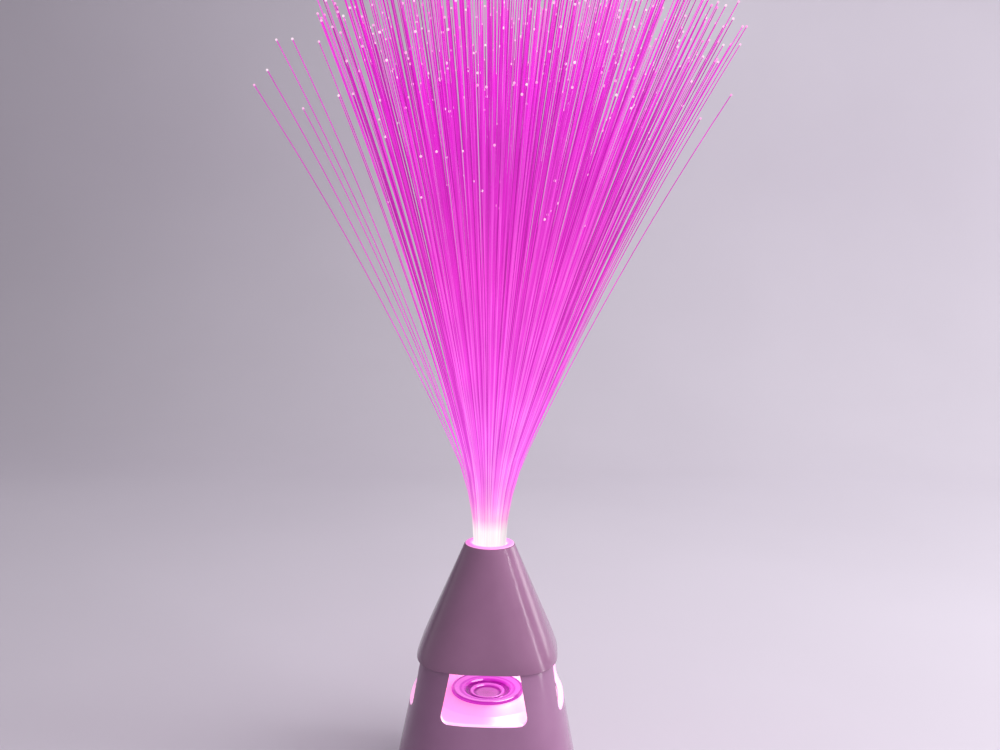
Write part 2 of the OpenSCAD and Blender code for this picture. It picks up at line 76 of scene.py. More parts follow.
def setCamera(spot):
    data = bpy.data.cameras.new("camera")
    data.lens = spot["lens"]
    data.sensor_width = spot["sensor"]
    data.clip_start = spot["nearest"]
    camera = bpy.data.objects.new("camera", data)
    bpy.context.scene.collection.objects.link(camera)
    turn = math.radians(spot["round"])
    place = Vector((math.sin(turn), -math.cos(turn), 0)) * spot["away"]
    place.z = spot["height"]
    heading = Matrix.Rotation(turn - math.radians(spot["aside"]), 4, "Z")
    tilt = Matrix.Rotation(math.radians(90 - spot["down"]), 4, "X")
    roll = Matrix.Rotation(math.radians(spot["roll"]), 4, "Z")
    camera.matrix_world = Matrix.Translation(place) @ heading @ tilt @ roll
    bpy.context.scene.camera = camera


setCamera(cameraSpot)
print("camera set")


# Selecting, applying and placing

def deselectAll():
    if bpy.context.object and bpy.context.object.mode != "OBJECT":
        bpy.ops.object.mode_set(mode="OBJECT")
    bpy.ops.object.select_all(action="DESELECT")


def pick(*pieces):
    deselectAll()
    for piece in pieces:
        piece.select_set(True)
    bpy.context.view_layer.objects.active = pieces[0]


def named(name):
    piece = bpy.context.object
    piece.name = name
    piece.data.name = name
    return piece


def applyModifiers(piece):
    pick(piece)
    for modifier in list(piece.modifiers):
        bpy.ops.object.modifier_apply(modifier=modifier.name)


def softenEdges(piece, width, segments=3, angle=35):
    bevel = piece.modifiers.new("softEdges", "BEVEL")
    bevel.width = width * mm
    bevel.segments = segments
    bevel.limit_method = "ANGLE"
    bevel.angle_limit = math.radians(angle)
    applyModifiers(piece)
    bpy.ops.object.shade_smooth_by_angle(angle=math.radians(angle))


def cutWith(piece, cutters):
    for cutter in cutters:
        cut = piece.modifiers.new("cut", "BOOLEAN")
        cut.operation = "DIFFERENCE"
        cut.solver = "EXACT"
        cut.object = cutter
    applyModifiers(piece)
    pick(*cutters)
    bpy.ops.object.delete()


# A closed form through rings given as (half width, height, squareness) in mm, 2 being round
def turnShell(name, rings, corners=96, ends="bridge"):
    deselectAll()
    bpy.ops.mesh.primitive_circle_add(vertices=corners, radius=rings[0][0] * mm)
    piece = named(name)
    bpy.ops.object.mode_set(mode="EDIT")
    for _ in rings[1:]:
        bpy.ops.mesh.extrude_region_move(TRANSFORM_OT_translate={"value": (0, 0, mm)})
    bpy.ops.object.mode_set(mode="OBJECT")
    for corner in piece.data.vertices:
        half, height, power = rings[round(corner.co.z / mm)]
        turn = math.atan2(corner.co.y, corner.co.x)
        across, along = math.cos(turn), math.sin(turn)
        reach = half / (abs(across) ** power + abs(along) ** power) ** (1 / power)
        corner.co = Vector((reach * across, reach * along, height)) * mm
    bpy.ops.object.mode_set(mode="EDIT")
    bpy.ops.mesh.select_mode(type="EDGE")
    bpy.ops.mesh.select_all(action="DESELECT")
    bpy.ops.mesh.select_non_manifold(extend=False, use_wire=False, use_multi_face=False,
                                     use_non_contiguous=False, use_verts=False)
    if ends == "bridge":
        bpy.ops.mesh.bridge_edge_loops()
    else:
        bpy.ops.mesh.fill_holes(sides=0)
    bpy.ops.mesh.select_all(action="SELECT")
    bpy.ops.mesh.normals_make_consistent(inside=False)
    bpy.ops.object.mode_set(mode="OBJECT")
    return piece


# Finishes. Patterns are laid in object coordinates, which are the lamp's own
noiseLow, noiseHigh = 0.3, 0.7     # most of a noise lies between these
coatRough = 0.12


def newFinish(name):
    material = bpy.data.materials.new(name)
    material.use_nodes = True
    tree = material.node_tree
    shader = tree.nodes["Principled BSDF"]
    place = tree.nodes.new("ShaderNodeTexCoord")
    return material, tree, shader, place.outputs["Object"]


def addNoise(tree, place, size, detail=3, stretch=(1, 1, 1)):
    mapping = tree.nodes.new("ShaderNodeMapping")
    mapping.inputs["Scale"].default_value = stretch
    tree.links.new(place, mapping.inputs["Vector"])
    noise = tree.nodes.new("ShaderNodeTexNoise")
    noise.inputs["Scale"].default_value = 1 / (size * mm)
    noise.inputs["Detail"].default_value = detail
    tree.links.new(mapping.outputs["Vector"], noise.inputs["Vector"])
    return noise.outputs["Fac"]


def addRamp(tree, source, stops):
    ramp = tree.nodes.new("ShaderNodeValToRGB")
    ramp.color_ramp.elements.remove(ramp.color_ramp.elements[1])
    ramp.color_ramp.elements[0].position = stops[0][0]
    ramp.color_ramp.elements[0].color = stops[0][1]
    for place, colour in stops[1:]:
        ramp.color_ramp.elements.new(place).color = colour
    tree.links.new(source, ramp.inputs["Fac"])
    return ramp.outputs["Color"]


def addRange(tree, source, low, high, toLow=0, toHigh=1):
    spread = tree.nodes.new("ShaderNodeMapRange")
    spread.inputs["From Min"].default_value = low
    spread.inputs["From Max"].default_value = high
    spread.inputs["To Min"].default_value = toLow
    spread.inputs["To Max"].default_value = toHigh
    tree.links.new(source, spread.inputs["Value"])
    return spread.outputs["Result"]


def addBump(tree, shader, source, depth):
    bump = tree.nodes.new("ShaderNodeBump")
    bump.inputs["Distance"].default_value = depth * mm
    tree.links.new(source, bump.inputs["Height"])
    tree.links.new(bump.outputs["Normal"], shader.inputs["Normal"])


# Place along one axis in mm, for ramps that run up or across the lamp
def addAlong(tree, place, axis, low, high):
    split = tree.nodes.new("ShaderNodeSeparateXYZ")
    tree.links.new(place, split.inputs["Vector"])
    return addRange(tree, split.outputs[axis], low * mm, high * mm)


# Distance from the lamp's axis in mm
def addRadius(tree, place, low, high):
    flat = tree.nodes.new("ShaderNodeVectorMath")
    flat.operation = "MULTIPLY"
    flat.inputs[1].default_value = (1, 1, 0)
    tree.links.new(place, flat.inputs[0])
    length = tree.nodes.new("ShaderNodeVectorMath")
    length.operation = "LENGTH"
    tree.links.new(flat.outputs["Vector"], length.inputs[0])
    return addRange(tree, length.outputs["Value"], low * mm, high * mm)


# A moulded, painted or metal surface: two close tones in soft patches, uneven gloss, fine grain
def surfaceFinish(name, tones, rough, patch=14, grain=0.6, depth=0.01, metal=0, coat=0):
    material, tree, shader, place = newFinish(name)
    patches = addNoise(tree, place, patch)
    stops = [(noiseLow, tones[0]), (noiseHigh, tones[1])]
    tree.links.new(addRamp(tree, patches, stops), shader.inputs["Base Color"])
    fine = addNoise(tree, place, grain, 2)
    tree.links.new(addRange(tree, patches, noiseLow, noiseHigh, *rough), shader.inputs["Roughness"])
    addBump(tree, shader, fine, depth)
    shader.inputs["Metallic"].default_value = metal
    shader.inputs["Coat Weight"].default_value = coat
    shader.inputs["Coat Roughness"].default_value = coatRough
    return material


def addGlow(tree, shader, source, stops, strength):
    tree.links.new(addRamp(tree, source, stops), shader.inputs["Emission Color"])
    shader.inputs["Emission Strength"].default_value = strength


def dress(piece, material):
    piece.data.materials.clear()
    piece.data.materials.append(material)


# Cap: a flared skirt under a round mouth
capLook = {
    "rimRadius": 10.8,
    "wall": 1.7,
    "rimWall": 1.95,
    "fullness": 0.03,      # how much fuller than a cone's its sides are
    "fullPower": 9,        # the higher, the nearer the skirt its fullest part sits
    "squareness": 3.2,     # of the skirt's outline
    "levels": 16,
    "levelPower": 0.85,    # under 1, the levels stand closer towards the rim
    "corners": 128,
    "edge": 0.45,
    "finish": {"tones": (srgb(140, 94, 128), srgb(147, 101, 135)), "rough": (0.2, 0.26),
               "patch": 18, "grain": 0.35, "depth": 0.003, "coat": 0.25},
}
capLow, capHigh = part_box("cap_shell")
skirtHalf, skirtZ, rimZ = capHigh.x / mm, capLow.z / mm, capHigh.z / mm


def capRise(height):
    return min(1, max(0, (rimZ - height) / (rimZ - skirtZ)))


def capHalf(height):
    rise = capRise(height)
    flare = (1 + capLook["fullness"]) * rise - capLook["fullness"] * rise ** capLook["fullPower"]
    return capLook["rimRadius"] + (skirtHalf - capLook["rimRadius"]) * flare


def capPower(height):
    return 2 + (capLook["squareness"] - 2) * capRise(height)


def makeCap(look):
    shares = [(k / look["levels"]) ** look["levelPower"] for k in range(look["levels"] + 1)]
    levels = [skirtZ + (rimZ - skirtZ) * share for share in shares]
    outside = [(capHalf(z), z, capPower(z)) for z in levels]
    inside = [(capHalf(z) - look["wall"], z, capPower(z)) for z in reversed(levels[:-1])]
    rimInside = (look["rimRadius"] - look["rimWall"], rimZ, 2)
    cap = turnShell("capSkin", outside + [rimInside] + inside, look["corners"])
    softenEdges(cap, look["edge"], angle=40)
    dress(cap, surfaceFinish("capGloss", **look["finish"]))
    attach(cap, "base")
    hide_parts("cap_shell")


makeCap(capLook)
print("cap made")

# Lower shell: tapered walls, four open windows, a hole for the button at the back
baseLook = {
    "shoulderHalf": 29.1,
    "wall": 2.4,
    "squareness": 2.8,
    "levels": [4, 10, 18, 26, 34, 42, 45, 48, 52, 56, 60],    # heights between hem and skirt
    "spigotWall": 1.8,
    "spigotGap": 0.25,     # play round the spigot inside the cap
    "spigotFit": 2,        # measured this far above the spigot's top
    "spigotSink": 0.5,     # how far its inside goes below the skirt's edge
    "corners": 128,
    "edge": 0.45,
    "window": 36,          # width at its sill
    "sill": 44.2,
    "taper": 0.39,         # width lost per height
    "windowCorner": 3.5, "windowSteps": 8,
    "windowOver": 0.3,     # how far the cut passes the skirt's edge
    "cutterPlace": 0.7,    # of the hem's half width
    "buttonHole": 5.3,
    "holeDepth": 20,
    "finish": {"tones": (srgb(152, 105, 142), srgb(159, 112, 149)), "rough": (0.2, 0.26),
               "patch": 20, "grain": 0.35, "depth": 0.003, "coat": 0.2},
}
# The inside of the wall and the edges of the windows: a paler pink copy of the shell's plastic with painted
# glow, standing in for the chamber's light that falls on them
paintedWallGlowLook = {
    "tone": srgb(250, 190, 236),
    "rough": 0.3,
    "glow": [(0, srgb(255, 196, 240)), (1, srgb(250, 190, 236))],
    "span": (42, 66),
    "strength": 0.55,
    "below": 1,            # starts this far below the sill
    "above": 0.5,          # ends this far above the skirt's edge
    "inside": 0.3,         # lies at least this far inside the outer skin
}
baseLow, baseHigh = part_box("base_shell")
hemHalf, hemZ, spigotZ = baseHigh.x / mm, baseLow.z / mm, baseHigh.z / mm
buttonLow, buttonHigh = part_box("power_button")
buttonZ = (buttonLow.z + buttonHigh.z) / 2 / mm


def baseHalf(height):
    return hemHalf - (hemHalf - baseLook["shoulderHalf"]) * (height - hemZ) / (skirtZ - hemZ)


def makeWindowCutter(look, turn):
    height = skirtZ + look["windowOver"] - look["sill"]
    middle = (0, -hemHalf * look["cutterPlace"] * mm, (look["sill"] + height / 2) * mm)
    nearSill = (look["sill"] + 1) * mm
    deselectAll()
    bpy.ops.mesh.primitive_cube_add(size=1, location=middle,
                                    scale=(look["window"] * mm, hemHalf * mm, height * mm))
    cutter = named("windowCutter")
    bpy.ops.object.transform_apply(location=True, rotation=True, scale=True)
    topHalf = look["window"] / 2 - look["taper"] / 2 * height
    for corner in cutter.data.vertices:
        if corner.co.z > nearSill:
            corner.co.x = math.copysign(topHalf * mm, corner.co.x)
    bpy.ops.object.mode_set(mode="EDIT")
    bpy.ops.mesh.select_all(action="DESELECT")
    bpy.ops.object.mode_set(mode="OBJECT")
    for edge in cutter.data.edges:
        ends = [cutter.data.vertices[i].co for i in edge.vertices]
        low = all(end.z < nearSill for end in ends)
        edge.select = low and abs(ends[0].y - ends[1].y) > mm
    bpy.ops.object.mode_set(mode="EDIT")
    bpy.ops.mesh.select_mode(type="EDGE")
    bpy.ops.mesh.bevel(offset=look["windowCorner"] * mm, segments=look["windowSteps"])
    bpy.ops.object.mode_set(mode="OBJECT")
    cutter.rotation_euler.z = math.radians(turn)
    bpy.ops.object.transform_apply(location=False, rotation=True, scale=False)
    return cutter


def paintWallGlow(base, look, lit):
    material, tree, shader, place = newFinish("wallPaintedGlow")
    shader.inputs["Base Color"].default_value = lit["tone"]
    shader.inputs["Roughness"].default_value = lit["rough"]
    addGlow(tree, shader, addAlong(tree, place, "Z", *lit["span"]), lit["glow"], lit["strength"])
    base.data.materials.append(material)
    # Faces inside the outer skin, from below the sill to above the skirt, get the paler copy with painted
    # glow
    power = look["squareness"]
    for face in base.data.polygons:
        across, along, height = [abs(value) / mm for value in face.center]
        reach = (across ** power + along ** power) ** (1 / power)
        level = look["sill"] - lit["below"] < height < skirtZ + lit["above"]
        if level and reach < baseHalf(height) - lit["inside"]:
            face.material_index = 1


def makeBase(look):
    lower = [hemZ, *look["levels"], skirtZ]
    spigotHalf = capHalf(spigotZ + look["spigotFit"]) - capLook["wall"] - look["spigotGap"]
    spigotPower = capPower(spigotZ + look["spigotFit"])
    outside = [(baseHalf(z), z, look["squareness"]) for z in lower]
    spigot = [(spigotHalf, skirtZ, spigotPower), (spigotHalf, spigotZ, spigotPower),
              (spigotHalf - look["spigotWall"], spigotZ, spigotPower),
              (spigotHalf - look["spigotWall"], skirtZ - look["spigotSink"], spigotPower)]
    inside = [(baseHalf(z) - look["wall"], z, look["squareness"]) for z in reversed(lower[:-1])]
    base = turnShell("baseSkin", outside + spigot + inside, look["corners"])
    cutters = [makeWindowCutter(look, turn) for turn in (0, 90, 180, 270)]
    deselectAll()
    bpy.ops.mesh.primitive_cylinder_add(vertices=64, radius=look["buttonHole"] * mm,
                                        depth=look["holeDepth"] * mm,
                                        location=(0, baseHalf(buttonZ) * mm, buttonZ * mm),
                                        rotation=(math.radians(90), 0, 0))
    cutters.append(named("buttonCutter"))
    cutWith(base, cutters)
    softenEdges(base, look["edge"], angle=40)
    dress(base, surfaceFinish("baseGloss", **look["finish"]))
    paintWallGlow(base, look, paintedWallGlowLook)
    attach(base, "base")
    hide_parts("base_shell")


makeBase(baseLook)
print("lower shell made")

# Socket collar round the fibres, its lip with a pink tone and painted glow standing in for the fibres' light
collarLook = {
    "bore": 7.6,
    "ledge": 6.32,
    "ledgeHeight": 1.2,
    "outside": 8.6,
    "lip": 1.45,           # half its width
    "arcStep": 15,         # degrees from one of its rings to the next
    "edge": 0.15,
    "tone": srgb(226, 150, 208),
    "rough": 0.3,
    "grain": 0.8,
    "depth": 0.01,
    # painted glow by radius: pale at the outer edge and the bore, deeper pink between
    "glowFrom": 10.6, "glowTo": 7.4,     # distances from the axis
    "glow": [(0.0, srgb(250, 170, 232)), (0.2, srgb(222, 78, 196)), (0.6, srgb(214, 64, 190)),
             (1.0, srgb(255, 176, 238))],
    "strength": 0.85,
}
collarLow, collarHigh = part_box("socket_collar")


def makeCollar(look):
    low, top = collarLow.z / mm, collarHigh.z / mm
    middle = look["bore"] + look["lip"]
    ledgeTop = low + look["ledgeHeight"]
    rings = [(look["ledge"], low, 2), (look["ledge"], ledgeTop, 2), (look["bore"], ledgeTop, 2)]
    for degrees in range(0, 181, look["arcStep"]):
        turn = math.radians(degrees)
        rings.append((middle - look["lip"] * math.cos(turn), rimZ + (top - rimZ) * math.sin(turn), 2))
    rings += [(look["outside"], rimZ, 2), (look["outside"], low, 2)]
    collar = turnShell("glowLip", rings)
    softenEdges(collar, look["edge"], angle=50)
    material, tree, shader, place = newFinish("lipPaintedGlow")
    shader.inputs["Base Color"].default_value = look["tone"]
    shader.inputs["Roughness"].default_value = look["rough"]
    radius = addRadius(tree, place, look["glowFrom"], look["glowTo"])
    addGlow(tree, shader, radius, look["glow"], look["strength"])
    addBump(tree, shader, addNoise(tree, place, look["grain"]), look["depth"])
    dress(collar, material)
    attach(collar, "base")
    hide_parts("socket_collar")


makeCollar(collarLook)
print("collar made")

# Clear stepped lens on the white floor
lensLook = {
    "radius": 15.7,
    "edge": 0.12,
    "rings": [(8, -6.8), (10, -6.8), (10, 0), (15.7, 0), (15.7, 0.6), (15.5, 0.95), (15.1, 1.1),
              (14.4, 1.0), (13.6, 0.9), (12.4, 0.62), (11.2, 0.5), (10.5, 0.45), (10.1, 0.35),
              (9.7, -0.3), (9.0, -0.75), (8.2, -1.0), (7.8, -0.9), (7.4, -0.5), (6.9, -0.42),
              (6.4, -0.6), (6.0, -1.15), (5.4, -1.4), (3.4, -1.52), (1.6, -1.58), (0.2, -1.6)],
    "tone": srgb(92, 14, 92),
    "rough": 0.08,
    "clear": 0.2,
    "bend": 1.49,          # how strongly it refracts
    "ripple": 3,
    "depth": 0.02,
    # The LED's light through the lens is painted as glow, with painted dark rings and bright bands for the
    # refraction and reflections of its steps
    "glow": [(0.0, srgb(176, 96, 156)), (0.28, srgb(196, 104, 180)), (0.34, srgb(118, 4, 112)),
             (0.375, srgb(140, 12, 134)), (0.4, srgb(236, 104, 220)), (0.455, srgb(246, 118, 230)),
             (0.485, srgb(130, 6, 126)), (0.6, srgb(104, 0, 100)), (0.625, srgb(196, 40, 186)),
             (0.68, srgb(238, 96, 226)), (0.75, srgb(206, 50, 198)), (0.8, srgb(246, 116, 232)),
             (0.9, srgb(246, 116, 230)), (0.94, srgb(168, 14, 160)), (1.0, srgb(200, 44, 190))],
    "strength": 0.8,
}
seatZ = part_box("light_floor")[1].z / mm


def makeLens(look):
    rings = [(half, seatZ + rise, 2) for half, rise in look["rings"]]
    lens = turnShell("stepLens", rings, ends="fill")
    softenEdges(lens, look["edge"], angle=30)
    material, tree, shader, place = newFinish("lensClear")
    shader.inputs["Base Color"].default_value = look["tone"]
    shader.inputs["Roughness"].default_value = look["rough"]
    shader.inputs["Transmission Weight"].default_value = look["clear"]
    shader.inputs["IOR"].default_value = look["bend"]
    addGlow(tree, shader, addRadius(tree, place, 0, look["radius"]), look["glow"], look["strength"])
    addBump(tree, shader, addNoise(tree, place, look["ripple"]), look["depth"])
    dress(lens, material)
    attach(lens, "base")
    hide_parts("led_lens")


makeLens(lensLook)
print("lens made")

# Push button in the rear wall
buttonLook = {
    "radius": 5,
    "flange": 6.2,
    "flangeThick": 1.2,
    "flangeGap": 0.6,      # between the flange and the wall
    "stem": 1.5,
    "corners": 64,
    "front": [(0, 0.9), (0.25, 0.35), (0.9, 0), (1.4, 0.1), (2.6, 0.45), (4, 0.6)],   # (inward, sunk)
    "edge": 0.12,
    "finish": {"tones": (srgb(214, 202, 212), srgb(220, 208, 218)), "rough": (0.22, 0.3),
               "patch": 4, "grain": 0.3, "depth": 0.003},
}


def makeButton(look):
    start, face = buttonLow.y / mm, buttonHigh.y / mm
    flange = baseHalf(buttonZ + look["flange"]) - baseLook["wall"] - look["flangeGap"]
    back = flange - look["flangeThick"]
    rings = [(look["stem"], start), (look["stem"], back), (look["flange"], back),
             (look["flange"], flange), (look["radius"], flange)]
    rings += [(look["radius"] - inward, face - sunk) for inward, sunk in look["front"]]
    button = turnShell("pushButton", [(half, z, 2) for half, z in rings], look["corners"], ends="fill")
    button.rotation_euler.x = math.radians(-90)
    button.location.z = buttonZ * mm
    bpy.ops.object.transform_apply(location=True, rotation=True, scale=False)
    softenEdges(button, look["edge"], angle=40)
    dress(button, surfaceFinish("buttonGloss", **look["finish"]))
    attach(button, "button")
    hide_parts("power_button")


makeButton(buttonLook)
print("button made")

# Return spring behind the button, built at one length; the real one shortens as the button goes in
springLook = {
    "wire": 0.25,
    "turns": 4,
    "steps": 12,           # points on a turn
    "travel": 1.6,         # of the button
    "finish": {"tones": (srgb(180, 180, 186), srgb(204, 204, 208)), "rough": (0.2, 0.3),
               "patch": 2, "metal": 1},
}


def makeSpring(look):
    low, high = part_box("button_spring")
    coil = (high.x - low.x) / 2 / mm - look["wire"]
    start, end = low.y / mm + look["wire"], high.y / mm - look["wire"]
    curve = bpy.data.curves.new("returnSpring", "CURVE")
    curve.dimensions = "3D"
    curve.bevel_depth = look["wire"] * mm
    curve.bevel_resolution = 1
    curve.use_fill_caps = True
    spring = bpy.data.objects.new("returnSpring", curve)
    bpy.context.scene.collection.objects.link(spring)
    count = look["turns"] * look["steps"]
    wire = curve.splines.new("POLY")
    wire.points.add(count)
    for k, knot in enumerate(wire.points):
        turn = 2 * math.pi * k / look["steps"]
        along = start + (end - start) * k / count
        place = Vector((coil * math.cos(turn), along, buttonZ + coil * math.sin(turn)))
        knot.co = (*(place * mm), 1)
    pick(spring)
    bpy.ops.object.convert(target="MESH")
    spring = bpy.context.object
    bpy.ops.object.shade_smooth()
    dress(spring, surfaceFinish("springSteel", **look["finish"]))
    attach(spring, "base")
    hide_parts("button_spring")
    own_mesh(spring)


makeSpring(springLook)
print("spring made")

# Four rubber feet, each with a soft edge and a shallow hollow underneath
feetLook = {
    "radius": 4,
    "corners": 40,
    "rings": [(0.2, 0.35), (1.9, 0.35), (2.4, 0.2), (2.7, 0), (3.6, 0), (3.9, 0.15), (4, 0.5),
              (4, 2.4), (0.2, 2.4)],
    "finish": {"tones": (srgb(52, 50, 54), srgb(66, 63, 68)), "rough": (0.75, 0.9),
               "patch": 5, "grain": 0.3, "depth": 0.03},
}


def makeFeet(look):
    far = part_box("rubber_feet")[1]
    awayX, awayY = far.x - look["radius"] * mm, far.y - look["radius"] * mm
    rings = [(half, z, 2) for half, z in look["rings"]]
    feet = []
    for sideX in (-1, 1):
        for sideY in (-1, 1):
            foot = turnShell("rubberFeet", rings, look["corners"], ends="fill")
            foot.location = (sideX * awayX, sideY * awayY, 0)
            feet.append(foot)
    pick(*feet)
    bpy.ops.object.join()
    bpy.ops.object.transform_apply(location=True, rotation=False, scale=False)
    bpy.ops.object.shade_smooth_by_angle(angle=math.radians(40))
    feet = bpy.context.object
    dress(feet, surfaceFinish("footRubber", **look["finish"]))
    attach(feet, "base")
    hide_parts("rubber_feet")


makeFeet(feetLook)
print("feet made")

# The spray. Its fibres stand packed in the resin and spread above the mouth
sprayLook = {
    "seed": 7,
    "count": 900,
    "radius": 0.19,
    "points": 18,
    "pointPower": 1.2,     # over 1, the points stand closer near the root
    "rootTurn": 137.508,   # degrees from one root to the next, as in a sunflower's head
    "rootGap": 0.03,       # between the outermost roots and the sleeve
    "straight": 14,        # mm from the resin to the first bend
    "lowBend": 19, "lowLength": 45,
    "highBend": 9.5,
    "sideLean": 0.14,      # the dense spray leans a little to the right
    "longest": 256,
    "edgeLoss": 0.02,      # share by which the outermost fibres are shorter
    "shortShare": 0.1, "shortTo": (0.62, 0.88),    # of the fibres, that end far below the others
    "raggedShare": 0.4,    # of the fibres, that end a little below
    "raggedLoss": 0.2, "raggedPower": 1.5,
    "frontThin": 0.3,      # share left out of the side that leans to the front
    "frontFrom": -0.2, "frontOut": 0.35,
    "leanScatter": 0.018, "lengthScatter": 4, "curlScatter": 0.06,
    # the solid that a ring of fibres replaces, and how far out that ring goes
    "groups": [("fibres_core", 0.357), ("fibres_inner", 0.643), ("fibres_middle", 0.786),
               ("fibres_outer", 0.929), ("fibres_rim", 2)],
    # degrees round the lamp, share of the full bend, length
    "strays": [(176, 1.34, 234), (184, 1.21, 232), (171, 1.13, 250), (187, 1.01, 238), (177, 0.9, 238),
               (168, 1.2, 220), (192, 0.9, 210), (3, 1.18, 248), (-6, 1.28, 224), (10, 1.15, 242),
               (-2, 1.2, 212), (64, 1.24, 246), (124, 1.24, 246), (244, 1.24, 246), (304, 1.24, 246)],
    "strayTone": "mid",
    "shares": {"bright": 0.3, "mid": 0.45, "deep": 0.25},      # of the fibres in each tone
    "tone": srgb(36, 4, 30),
    "rough": 0.25,
    "fleck": 9, "fleckStretch": (1, 1, 0.35), "fleckGlow": (0.82, 1.12),
    "glowStart": -2, "glowEnd": 350,       # from just below the rim to the tips
    "glow": {
        "bright": [(0.0, srgb(255, 254, 252)), (0.034, srgb(255, 250, 250)), (0.055, srgb(255, 204, 238)),
                   (0.085, srgb(255, 172, 240)), (0.12, srgb(255, 154, 244)), (0.19, srgb(255, 134, 248)),
                   (0.3, srgb(255, 108, 240)), (0.475, srgb(246, 86, 224)), (0.62, srgb(236, 66, 216)),
                   (0.79, srgb(242, 30, 224)), (0.92, srgb(250, 52, 226)), (1.0, srgb(255, 110, 228))],
        "mid": [(0.0, srgb(255, 252, 251)), (0.034, srgb(255, 240, 246)), (0.055, srgb(254, 178, 230)),
                (0.085, srgb(254, 142, 234)), (0.12, srgb(252, 122, 238)), (0.19, srgb(248, 98, 238)),
                (0.3, srgb(242, 72, 226)), (0.475, srgb(230, 50, 206)), (0.62, srgb(218, 34, 197)),
                (0.79, srgb(228, 4, 208)), (0.92, srgb(238, 20, 210)), (1.0, srgb(250, 76, 216))],
        "deep": [(0.0, srgb(255, 248, 250)), (0.034, srgb(253, 226, 240)), (0.055, srgb(246, 150, 222)),
                 (0.085, srgb(238, 112, 222)), (0.12, srgb(230, 90, 220)), (0.19, srgb(222, 70, 214)),
                 (0.3, srgb(210, 46, 194)), (0.475, srgb(196, 28, 174)), (0.62, srgb(186, 16, 168)),
                 (0.79, srgb(194, 0, 176)), (0.92, srgb(208, 6, 182)), (1.0, srgb(232, 56, 196))],
    },
}
tipLook = {
    "radius": 0.56,
    "tone": srgb(90, 40, 86),
    "rough": 0.2,
    "sparkle": 5,
    "glow": [(0.3, srgb(255, 130, 222)), (0.5, srgb(255, 190, 232)), (0.65, srgb(255, 232, 244))],
    "strength": 1,
}
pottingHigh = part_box("bundle_potting")[1]
rootZ, rootRadius = pottingHigh.z / mm, pottingHigh.x / mm


def fibrePoints(look, root, lean, length, curl):
    points = [Vector((root.x, root.y, rootZ))]
    heading = math.atan2(lean.y, lean.x)
    walked = 0
    for k in range(1, look["points"] + 1):
        ahead = length * (k / look["points"]) ** look["pointPower"]
        middle = (walked + ahead) / 2
        low = min(1, max(0, (middle - look["straight"]) / look["lowLength"]))
        high = max(0, middle - look["straight"] - look["lowLength"]) / look["longest"]
        tilt = math.radians(look["lowBend"] * low + look["highBend"] * high) * lean.length
        way = heading + curl * middle / length
        step = Vector((math.sin(tilt) * math.cos(way), math.sin(tilt) * math.sin(way), math.cos(tilt)))
        points.append(points[-1] + step * (ahead - walked))
        walked = ahead
    return points


# Each fibre as its distance from the middle (0 to 1), its tone and its points
def planSpray(look):
    chance = random.Random(look["seed"])
    rim = rootRadius - look["radius"] - look["rootGap"]
    plan = []
    for i in range(look["count"]):
        u = math.sqrt((i + 0.5) / look["count"])
        turn = math.radians(look["rootTurn"] * i)
        out = Vector((math.cos(turn), math.sin(turn)))
        lean = out * (u + chance.gauss(0, look["leanScatter"])) + Vector((look["sideLean"], 0))
        front = out.y < look["frontFrom"] and u > look["frontOut"]
        if front and chance.random() < look["frontThin"]:
            continue
        length = look["longest"] * (1 - look["edgeLoss"] * u) - abs(chance.gauss(0, look["lengthScatter"]))
        draw = chance.random()
        if draw < look["shortShare"]:
            length *= chance.uniform(*look["shortTo"])
        elif draw < look["shortShare"] + look["raggedShare"]:
            length *= 1 - look["raggedLoss"] * chance.random() ** look["raggedPower"]
        tone = chance.choices(list(look["shares"]), weights=list(look["shares"].values()))[0]
        curl = chance.gauss(0, look["curlScatter"])
        plan.append((u, tone, fibrePoints(look, out * u * rim, lean, length, curl)))
    for degrees, share, length in look["strays"]:
        out = Vector((math.cos(math.radians(degrees)), math.sin(math.radians(degrees))))
        plan.append((1, look["strayTone"], fibrePoints(look, out * rim, out * share, length, 0)))
    return plan


def fibreFinish(look, tone):
    material, tree, shader, place = newFinish("fibre_" + tone)
    material.cycles.emission_sampling = "NONE"
    shader.inputs["Base Color"].default_value = look["tone"]
    shader.inputs["Roughness"].default_value = look["rough"]
    height = addAlong(tree, place, "Z", rimZ + look["glowStart"], look["glowEnd"])
    flecks = addNoise(tree, place, look["fleck"], 2, look["fleckStretch"])
    strength = addRange(tree, flecks, noiseLow, noiseHigh, *look["fleckGlow"])
    tree.links.new(addRamp(tree, height, look["glow"][tone]), shader.inputs["Emission Color"])
    tree.links.new(strength, shader.inputs["Emission Strength"])
    return material


def makeFibres(look, node, fibres, tones):
    curve = bpy.data.curves.new(node.replace("fibres_", "spray_"), "CURVE")
    curve.dimensions = "3D"
    curve.bevel_depth = look["radius"] * mm
    curve.bevel_resolution = 0
    curve.use_fill_caps = True
    piece = bpy.data.objects.new(curve.name, curve)
    bpy.context.scene.collection.objects.link(piece)
    for finish in tones.values():
        curve.materials.append(finish)
    for tone, points in fibres:
        spline = curve.splines.new("POLY")
        spline.points.add(len(points) - 1)
        for knot, point in zip(spline.points, points):
            knot.co = (*(point * mm), 1)
        spline.material_index = list(tones).index(tone)
    pick(piece)
    bpy.ops.object.convert(target="MESH")
    piece = bpy.context.object
    bpy.ops.object.shade_smooth()
    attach(piece, "fibre_bundle")
    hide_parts(node)


